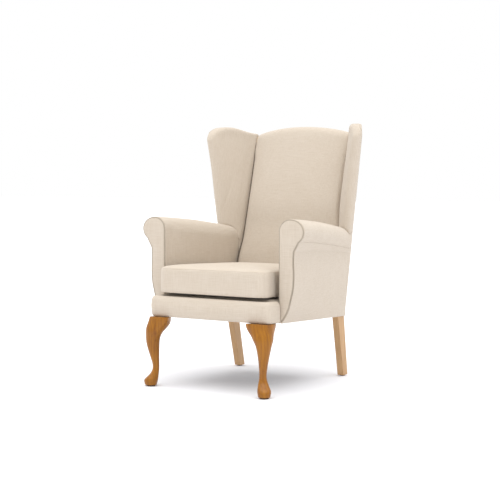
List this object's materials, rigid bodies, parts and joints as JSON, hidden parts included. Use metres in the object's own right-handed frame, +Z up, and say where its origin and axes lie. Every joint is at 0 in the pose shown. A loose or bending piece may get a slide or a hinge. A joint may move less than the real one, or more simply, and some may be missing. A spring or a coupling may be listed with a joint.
{
  "type": "wing armchair",
  "caption": "Upholstered wing fireside chair with scroll arms, a loose box seat cushion, cabriole front legs and raked rear legs.",
  "frame": {"origin": "on the floor, under the centre of the chair's box", "axes": "+Z up, -Y the way the sitter faces, +X to the right of someone who looks at the chair's front"},
  "size_m": [0.7486, 0.7928, 1.043],
  "materials": {
    "cover_fabric": "matt plain-woven oatmeal fabric",
    "piping_fabric": "matt fabric-covered cord",
    "honey_oak": "satin honey-coloured polish",
    "pale_beech": "satin clear polish",
    "frame_beech": "bare planed wood",
    "foam": "open foam",
    "webbing": "woven elastic webbing",
    "dust_cloth": "thin black lining",
    "glide_plastic": "matt dark brown",
    "steel": "zinc plated",
    "zip_tape": "woven tape"
  },
  "bodies": {
    "chair": {"inside_arm_right": "cover_fabric", "inside_arm_left": "cover_fabric", "outside_arm_right": "cover_fabric", "outside_arm_left": "cover_fabric", "arm_facing_right": "cover_fabric", "arm_facing_left": "cover_fabric", "inside_wing_right": "cover_fabric", "inside_wing_left": "cover_fabric", "outside_wing_right": "cover_fabric", "outside_wing_left": "cover_fabric", "inside_back": "cover_fabric", "outside_back": "cover_fabric", "border_cover": "cover_fabric", "platform_cloth": "cover_fabric", "arm_piping_right": "piping_fabric", "arm_piping_left": "piping_fabric", "front_leg_right": "honey_oak", "front_leg_left": "honey_oak", "back_post_right": "pale_beech", "back_post_left": "pale_beech", "front_rail": "frame_beech", "rear_rail": "frame_beech", "side_rail_right": "frame_beech", "side_rail_left": "frame_beech", "corner_block_right": "frame_beech", "corner_block_left": "frame_beech", "top_back_rail": "frame_beech", "lower_back_rail": "frame_beech", "arm_front_board_right": "frame_beech", "arm_front_board_left": "frame_beech", "arm_rail_right": "frame_beech", "arm_rail_left": "frame_beech", "wing_board_right": "frame_beech", "wing_board_left": "frame_beech", "platform_pad": "foam", "border_pad": "foam", "arm_pad_right": "foam", "arm_pad_left": "foam", "wing_pad_right": "foam", "wing_pad_left": "foam", "back_pad": "foam", "seat_web_1": "webbing", "seat_web_2": "webbing", "seat_web_3": "webbing", "seat_web_4": "webbing", "back_web_1": "webbing", "back_web_2": "webbing", "back_web_3": "webbing", "dust_cover": "dust_cloth", "front_glide_right": "glide_plastic", "front_glide_left": "glide_plastic", "rear_glide_right": "glide_plastic", "rear_glide_left": "glide_plastic", "leg_bolt_right": "steel", "leg_bolt_left": "steel"},
    "cushion": {"cushion_foam": "foam", "cushion_cover": "cover_fabric", "cushion_zip": "zip_tape"},
    "slider": {"zip_slider": "steel"}
  },
  "joints": [
    {"name": "seat_cushion_lift", "type": "slide", "parent": "chair", "child": "cushion", "axis": [0, 0, 1], "range_m": [0, 0.75]},
    {"name": "zip_slide", "type": "slide", "parent": "cushion", "child": "slider", "axis": [-1, 0, 0], "range_m": [0, 0.383]}
  ]
}
